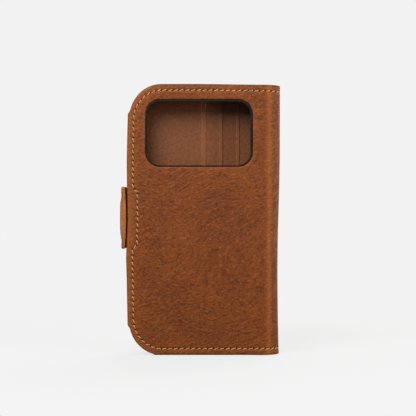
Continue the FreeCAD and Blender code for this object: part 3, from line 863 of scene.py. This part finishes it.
def lining(side):
    """One cover's suede lining, from its free edge to the middle of the spine."""
    loose = np.concatenate((
        offsets(OUTLINE, (-0.2, -0.5, -1.2)),
        hex_grid((0, 0), (FLAT, HEIGHT), 4.0, 4.0),
        hex_grid((FLAT - 3, 0), (S_END, HEIGHT), 0.8, 3.0),
    ))

    def outer(flat):
        return spine_step(flat[:, 0], RIM_THICK, HIDE_THICK) + CLEARANCE

    def inner(flat):
        fray = 0.02 * ripple(flat, 1.5, 5.0)
        return outer(flat) + LINING_THICK - CLEARANCE + fray - 0.2 * np.exp(-distance(flat, OUTLINE) / 0.2)

    holes = [camera_loop()] if side == BACK else []
    name = f"{SIDE_NAMES[side]}_lining_suede"
    made, flat = sheet_piece(name, cover_boundary(), holes, loose, outer, inner, cover_place(side), SUEDE)
    add_flat_map(made, continued(flat, side))
    return made


def bend_with_spine(piece, side):
    """Bakes a piece's transform into its mesh, whichever cover it belongs to."""
    if side == BACK:
        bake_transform(piece)
    else:
        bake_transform(piece)


def covers():
    """Both covers with their linings and seams."""
    for side, name in SIDE_NAMES.items():
        leather = cover(side, inner_box("closure_keeper" if side == BACK else "tab_root"))
        suede_sheet = lining(side)
        row = stitches(f"{name}_cover_stitches", SEAM, cover_place(side), THREAD, lambda flat: 0.2)
        for piece, slot in ((leather, "cover_leather"), (suede_sheet, "lining_suede"), (row, "thread")):
            bend_with_spine(piece, side)
        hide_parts(f"{name}_leather", f"{name}_fold_leather", "spine_leather")
        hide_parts(f"{name}_lining", f"{name}_fold_lining", "spine_lining")
        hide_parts(f"{name}_stitching")


# ---------------------------------------------------------------- the pockets

POCKETS = ["cash_pocket", "card_pocket_1", "card_pocket_2", "card_pocket_3"]
POCKET_CORNER = 17.3
POCKET_CREASE = 2.2


def pocket_outline(low, high):
    """A pocket's outline: round at the free edge, square at its mouth."""
    return refined(np.concatenate((
        [(high[0], low[1])],
        arc((low[0] + POCKET_CORNER, low[1] + POCKET_CORNER), POCKET_CORNER, 270, 180),
        arc((low[0] + POCKET_CORNER, high[1] - POCKET_CORNER), POCKET_CORNER, 180, 90),
        [(high[0], high[1])],
    )), 1.2)


def pocket(node_name):
    """One pocket panel, sewn along three sides, with a creased mouth. Returns its mouth and its depth."""
    low, high = node_box(node_name)
    flat_low, flat_high = inner_box(node_name)
    bottom_depth = RADIUS - high.y
    top_depth = RADIUS - low.y
    edge = pocket_outline(flat_low, flat_high)
    mouth = refined([flat_high, (flat_high[0], flat_low[1])], 1.2)
    boundary = np.concatenate((edge, mouth[1:-1]))[::-1]
    loop = np.concatenate((boundary, boundary[:1]))
    crease_s = flat_high[0] - POCKET_CREASE
    crease_z = np.linspace(flat_low[1], flat_high[1], 90)
    crease = np.column_stack((np.full_like(crease_z, crease_s), crease_z))
    loose = np.concatenate((
        offsets(boundary, (0.12, 0.3, 0.6, 1.2), closed=True),
        offsets(crease, (-0.6, -0.3, 0.0, 0.3, 0.6)),
        hex_grid(flat_low, flat_high, 2.5, 2.5),
    ))

    def outer(flat):
        return np.full(len(flat), bottom_depth + CLEARANCE)

    def inner(flat):
        groove = 0.16 * np.exp(-((flat[:, 0] - crease_s) / 0.3) ** 2)
        return top_depth - rounding(distance(flat, loop), 0.3) - groove + 0.02 * ripple(flat, 9.0, 4.0)

    made, flat = sheet_piece(f"{node_name}_leather", boundary, [], loose, outer, inner,
                             cover_place(FRONT), POCKET_HIDE, CUT_EDGE)
    pull_and_highlight = np.exp(-distance(flat, loop) / 0.8) + 0.6 * np.exp(-((flat[:, 0] - crease_s) / 0.5) ** 2)
    add_values(made, "pull_and_highlight", pull_and_highlight)
    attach(made, "front_cover")
    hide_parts(node_name)
    return flat_high[0], top_depth


def pockets():
    """The pockets, and the inside of the cover's seam, which runs over them."""
    faces = [pocket(node_name) for node_name in POCKETS]

    def stack_depth(flat):
        depth = np.full(len(flat), RIM_THICK + LINING_THICK)
        for mouth, top in faces:
            depth = np.where(flat[:, 0] < mouth, np.maximum(depth, top), depth)
        return depth

    def inside_place(flat, depth):
        return cover_place(FRONT)(flat, stack_depth(flat) - depth)

    panel_seam = SEAM[SEAM[:, 0] < FLAT - 0.5]
    row = stitches("front_cover_inner_stitches", panel_seam, inside_place, THREAD, lambda flat: 0.12)
    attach(row, "front_cover")


# ---------------------------------------------------------------- the closure tab

TAB_CORNER = 0.8
TAB_ROUND = 0.45
TAB_GAP = 0.02
TAB_SEAM_INSET = 2.2
TAB_SEAM_DEPTH = TAB_BEND - 2.0
TAB_SETTLE = 3.0
TAB_STITCH_PITCH = 2.9
TAB_THREAD_RADIUS = 0.24
TAB_FOLD_INNER = 1.8
TAB_FOLD_THICK = TAB_BEND - TAB_FOLD_INNER
TAB_MIDDLE = (TAB_LOW.z + TAB_HIGH.z) / 2
TAB_HALF = (TAB_HIGH.z - TAB_LOW.z) / 2


def tab_crown(flat):
    """1 at the middle of the tab's height, over the magnet, and 0 at its ends."""
    return 1 - ((flat[:, 1] - TAB_MIDDLE) / TAB_HALF) ** 2


def tab_settled(flat):
    """0 round the fold, 1 along the strap."""
    share = np.clip((flat[:, 0] - TAB_BEND_LENGTH) / TAB_SETTLE, 0, 1)
    return share ** 2 * (3 - 2 * share)


def tab_pinch(flat):
    """How far the strap sinks just inside its two ends, beyond the magnet."""
    high_dent = 0.4 * np.exp(-((TAB_HIGH.z - 5.6 - flat[:, 1]) / 2.6) ** 2)
    low_dent = 0.48 * np.exp(-((flat[:, 1] - TAB_LOW.z - 4.9) / 2.9) ** 2)
    return high_dent + low_dent


def tab_boundary(start):
    """A tab layer's outline, from start along its path to its free end."""
    loop = np.concatenate((
        [(start, TAB_LOW.z)],
        arc((TAB_END - TAB_CORNER, TAB_LOW.z + TAB_CORNER), TAB_CORNER, -90, 0, 0.3),
        arc((TAB_END - TAB_CORNER, TAB_HIGH.z - TAB_CORNER), TAB_CORNER, 0, 90, 0.3),
        [(start, TAB_HIGH.z)],
    ))
    return refined(np.concatenate((loop, loop[:1])), 0.8)[:-1]


def tab_points(boundary, start):
    """Loose points for a tab layer."""
    return np.concatenate((
        offsets(boundary, (0.08, 0.2, 0.4, 0.7, 1.2), closed=True),
        hex_grid((start, TAB_LOW.z), (TAB_END, TAB_HIGH.z), 0.55, 1.2),
    ))


def tab_edge_gap(flat, boundary):
    """Distance from the free edges of a tab layer: all but the one where it starts."""
    return distance(flat, boundary[boundary[:, 0] > boundary[:, 0].min() + 0.01])


def tab_seam():
    """The tab's seam: out along its lower edge, up its free end and back."""
    near = TAB_BEND_LENGTH + 0.6
    far = TAB_END - TAB_SEAM_INSET
    low, high = TAB_LOW.z + TAB_SEAM_INSET, TAB_HIGH.z - TAB_SEAM_INSET
    return refined([(near, low), (far, low), (far, high), (near, high)], 0.6)


def mark_cut_edges(piece):
    """Gives the faces round a tab layer's free edges the burnished finish."""
    piece.data.materials.append(TAB_EDGE)
    for face in piece.data.polygons:
        if abs(face.normal.x) < 0.6 and face.center.y < (TAB_CENTRE_Y - 0.2) * MM:
            face.material_index = 1


STRAP_START = 0.02
STRAP_OUTLINE = tab_boundary(STRAP_START)
TAB_SEAM = tab_seam()


def strap_face(flat):
    """Depth of the strap's outer face: crowned over the magnet and drawn in along its seam."""
    raised = (0.5 + 0.8 * tab_crown(flat) - tab_pinch(flat)) * tab_settled(flat)
    channel = 0.2 * np.exp(-(distance(flat, TAB_SEAM) / 0.5) ** 2)
    return rounding(tab_edge_gap(flat, STRAP_OUTLINE), TAB_ROUND) - raised + channel


def tab_strap():
    """The tab's outer hide, which folds into the cover's edge."""
    loose = np.concatenate((
        tab_points(STRAP_OUTLINE, STRAP_START), offsets(TAB_SEAM, (-0.5, -0.2, 0, 0.2, 0.5)),
    ))

    def inner(flat):
        return TAB_FOLD_THICK + (TAB_SEAM_DEPTH - TAB_FOLD_THICK) * tab_settled(flat) - TAB_GAP

    strap, _ = sheet_piece("closure_tab_leather", STRAP_OUTLINE, [], loose, strap_face, inner,
                           tab_place, TAB_HIDE)
    return strap


def tab_inner_layer():
    """The tab's inner hide, which faces the case."""
    start = TAB_BEND_LENGTH + 0.3
    boundary = tab_boundary(start)

    def outer(flat):
        return np.full(len(flat), TAB_SEAM_DEPTH + TAB_GAP)

    def inner(flat):
        edge = rounding(tab_edge_gap(flat, boundary), TAB_ROUND)
        return TAB_SEAM_DEPTH + 1.0 + 0.75 * tab_crown(flat) - edge

    layer, _ = sheet_piece("closure_tab_lining", boundary, [], tab_points(boundary, start), outer, inner,
                           tab_place, TAB_HIDE)
    return layer


def tab():
    """The closure tab: its folded strap, its inner layer and its seam."""
    strap = tab_strap()
    inner_layer = tab_inner_layer()
    for piece in (strap, inner_layer):
        mark_cut_edges(piece)
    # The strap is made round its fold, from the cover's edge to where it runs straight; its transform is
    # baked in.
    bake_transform(strap)
    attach(inner_layer, "closure_tab")
    row = stitches("closure_tab_stitches", TAB_SEAM, tab_place, THREAD, lambda flat: strap_face(flat) - 0.1,
                   TAB_STITCH_PITCH, TAB_THREAD_RADIUS)
    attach(row, "closure_tab")
    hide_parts("tab_leather", "tab_fold_leather")
    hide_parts("tab_lining")
    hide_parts("tab_stitching")


# ---------------------------------------------------------------- moulded and hidden parts

def dress(name, material, bevel_mm=0.0):
    """Gives a CAD node its finish, and breaks its sharp edges."""
    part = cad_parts[name]
    part.data.materials.clear()
    part.data.materials.append(material)
    if bevel_mm:
        modifier = part.modifiers.new("edge", "BEVEL")
        modifier.width = bevel_mm * MM
        modifier.segments = 3
        modifier.limit_method = "ANGLE"
        modifier.angle_limit = math.radians(50)
        modifier.harden_normals = True


def dress_parts():
    dress("phone_shell", SHELL, 0.35)
    dress("shell_pad", MICROFIBRE)
    dress("camera_bezel", BEZEL, 0.25)
    for name in ("side_button_cover", "action_button_cover", "volume_up_cover", "volume_down_cover"):
        dress(name, BUTTON, 0.3)
    dress("back_board", BOARD)
    dress("front_board", BOARD)
    dress("closure_keeper", KEEPER)
    dress("tab_root", TAB_HIDE)
    dress("tab_magnet", MAGNET, 0.15)


# ---------------------------------------------------------------- floor, light and camera

BACKDROP = srgb(242, 242, 242)
FLOOR_RADIUS = 0.42


def floor():
    """A pale floor that fades into the backdrop."""
    material, tree = new_material("stage_floor")
    place = node(tree, "TexCoord", output="Object")
    far = node(tree, "VectorMath", {0: place}, "Value", operation="LENGTH")
    fade = ranged(tree, far, FLOOR_RADIUS * 0.35, FLOOR_RADIUS * 0.95, 1.0, 0.0)
    lit = node(tree, "BsdfDiffuse", {"Color": (0.10, 0.10, 0.10, 1.0)})
    seen_only = calc(tree, "MULTIPLY", node(tree, "LightPath", output="Is Camera Ray"), 0.83)
    glow = node(tree, "Emission", {"Color": BACKDROP, "Strength": seen_only})
    paper = node(tree, "AddShader", {0: lit, 1: glow})
    clear = node(tree, "BsdfTransparent")
    surface = node(tree, "MixShader", {0: fade, 1: clear, 2: paper})
    output = tree.nodes.new("ShaderNodeOutputMaterial")
    tree.links.new(surface, output.inputs["Surface"])
    below = (0, 0, -0.0002)
    bpy.ops.mesh.primitive_circle_add(vertices=96, radius=FLOOR_RADIUS, fill_type="NGON", location=below)
    made = bpy.context.object
    made.name = "stage_floor"
    made.data.materials.append(material)


def area_light(name, place, target, size, power, colour=(1, 1, 1)):
    data = bpy.data.lights.new(name, "AREA")
    data.shape = "RECTANGLE"
    data.size, data.size_y = size
    data.energy = power
    data.color = colour
    made = bpy.data.objects.new(name, data)
    bpy.context.scene.collection.objects.link(made)
    made.location = place
    made.rotation_euler = (Vector(target) - Vector(place)).to_track_quat("-Z", "Y").to_euler()


def lights():
    """Soft studio light, in metres and watts: a wide key from the upper left, a strip and a warm rim for the
    spine, a light from behind, and a surround that is brightest above and behind."""
    middle = (0, 0, HEIGHT * MM / 2)
    area_light("key", (-0.26, -0.52, 0.56), middle, (0.45, 0.45), 5.6)
    area_light("strip", (0.62, -0.42, 0.20), middle, (0.18, 0.7), 3.3)
    area_light("rim", (0.63, 0.30, 0.09), middle, (0.15, 0.6), 1.7, colour=(1, 0.82, 0.58))
    area_light("back", (0.3, 0.8, 0.6), middle, (0.7, 0.7), 6.0)
    world = bpy.data.worlds.new("surround")
    bpy.context.scene.world = world
    world.use_nodes = True
    tree = world.node_tree
    tree.nodes.clear()
    seen = node(tree, "Background", {"Color": BACKDROP, "Strength": 1.0})
    direction = node(tree, "TexCoord", output="Generated")
    upward = node(tree, "SeparateXYZ", {0: direction}, "Z")
    behind = node(tree, "SeparateXYZ", {0: direction}, "Y")
    strength = ranged(tree, upward, -0.2, 0.9, 0.12, 0.6)
    strength = calc(tree, "ADD", strength, ranged(tree, behind, 0.2, 0.9, 0.0, 0.6))
    lit = node(tree, "Background", {"Color": (1, 1, 1, 1), "Strength": strength})
    chosen = node(tree, "MixShader", {0: node(tree, "LightPath", output="Is Camera Ray"), 1: lit, 2: seen})
    output = tree.nodes.new("ShaderNodeOutputWorld")
    tree.links.new(chosen, output.inputs["Surface"])


# In metres: how far the camera is from the back face, what width it takes in there, and where it stands.
CAMERA_AWAY = 0.70
FRAME_WIDTH = 0.2413
CAMERA_X = 0.00495
CAMERA_Z = 0.08535


def camera():
    """Square to the back of the case."""
    data = bpy.data.cameras.new("camera")
    data.lens = data.sensor_width * CAMERA_AWAY / FRAME_WIDTH
    made = bpy.data.objects.new("camera", data)
    bpy.context.scene.collection.objects.link(made)
    made.location = (CAMERA_X, -RADIUS * MM - CAMERA_AWAY, CAMERA_Z)
    made.rotation_euler = (math.pi / 2, 0, 0)
    bpy.context.scene.camera = made


covers()
pockets()
tab()
dress_parts()
floor()
lights()
camera()
bpy.context.scene.view_settings.view_transform = "Standard"
